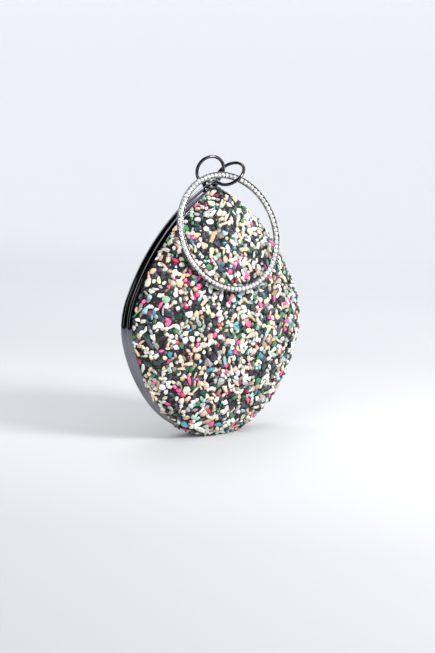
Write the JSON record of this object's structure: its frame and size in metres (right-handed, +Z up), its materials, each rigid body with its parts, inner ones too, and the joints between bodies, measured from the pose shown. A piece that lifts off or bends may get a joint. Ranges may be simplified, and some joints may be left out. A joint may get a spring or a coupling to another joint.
{
  "type": "evening bag",
  "caption": "Teardrop hard-case evening bag with chip-covered domed faces, hinged metal frame, kiss lock and a rhinestone ring handle on jump rings.",
  "frame": {"origin": "on the floor under the middle of the closed bag's width and depth, the handle included", "axes": "X to the right and -Y out of the front face as it is looked at, Z up from the hinge at the bottom to the clasp at the tip"},
  "size_m": [0.1522, 0.0662, 0.1974],
  "materials": {
    "frame_metal": "polished dark nickel plating",
    "dark_metal": "polished dark nickel plating",
    "hoop_metal": "polished dark nickel plating",
    "hinge_steel": "satin",
    "crystal": "clear faceted rhinestones with silvered backs",
    "stone_chips": "glossy opaque chips of mixed shell and stone, mostly cream, set close in dark resin",
    "backing_cloth": "dark cloth with small glitter specks",
    "shell_board": "pressed fibre board",
    "lining_cloth": "satin weave"
  },
  "bodies": {
    "front_half": {"front_frame": "frame_metal", "front_shell": "shell_board", "front_backing": "backing_cloth", "front_chips": "stone_chips", "front_lining": "lining_cloth", "front_clasp": "dark_metal", "front_hinge_leaf": "hinge_steel", "hinge_pin": "hinge_steel", "front_hinge_rivets": "hinge_steel", "handle_lug": "dark_metal"},
    "back_half": {"back_frame": "frame_metal", "back_shell": "shell_board", "back_backing": "backing_cloth", "back_chips": "stone_chips", "back_lining": "lining_cloth", "back_clasp": "dark_metal", "back_hinge_leaf": "hinge_steel", "back_hinge_rivets": "hinge_steel"},
    "lower_ring": {"lower_ring": "dark_metal"},
    "upper_ring": {"upper_ring": "dark_metal"},
    "handle_hoop": {"hoop_band": "hoop_metal", "hoop_rhinestones": "crystal"}
  },
  "joints": [
    {"name": "back_half_hinge", "type": "hinge", "parent": "front_half", "child": "back_half", "pos_m": [0, 0.00487, 0.0022], "axis": [1, 0, 0], "range_deg": [-80, 0]},
    {"name": "lower_ring_swing", "type": "hinge", "parent": "front_half", "child": "lower_ring", "pos_m": [-0.0082, 0.00147, 0.1772], "axis": [0.9703, -0.2419, 0], "range_deg": [-45, 0]},
    {"name": "upper_ring_swing", "type": "hinge", "parent": "lower_ring", "child": "upper_ring", "pos_m": [0.00032, -0.00182, 0.18332], "axis": [-0.6163, -0.3092, -0.7242], "range_deg": [0, 20]},
    {"name": "hoop_swing", "type": "hinge", "parent": "upper_ring", "child": "handle_hoop", "pos_m": [-0.00305, -0.00765, 0.18354], "axis": [-0.9976, 0.07, 0.0007], "range_deg": [0, 140]}
  ]
}
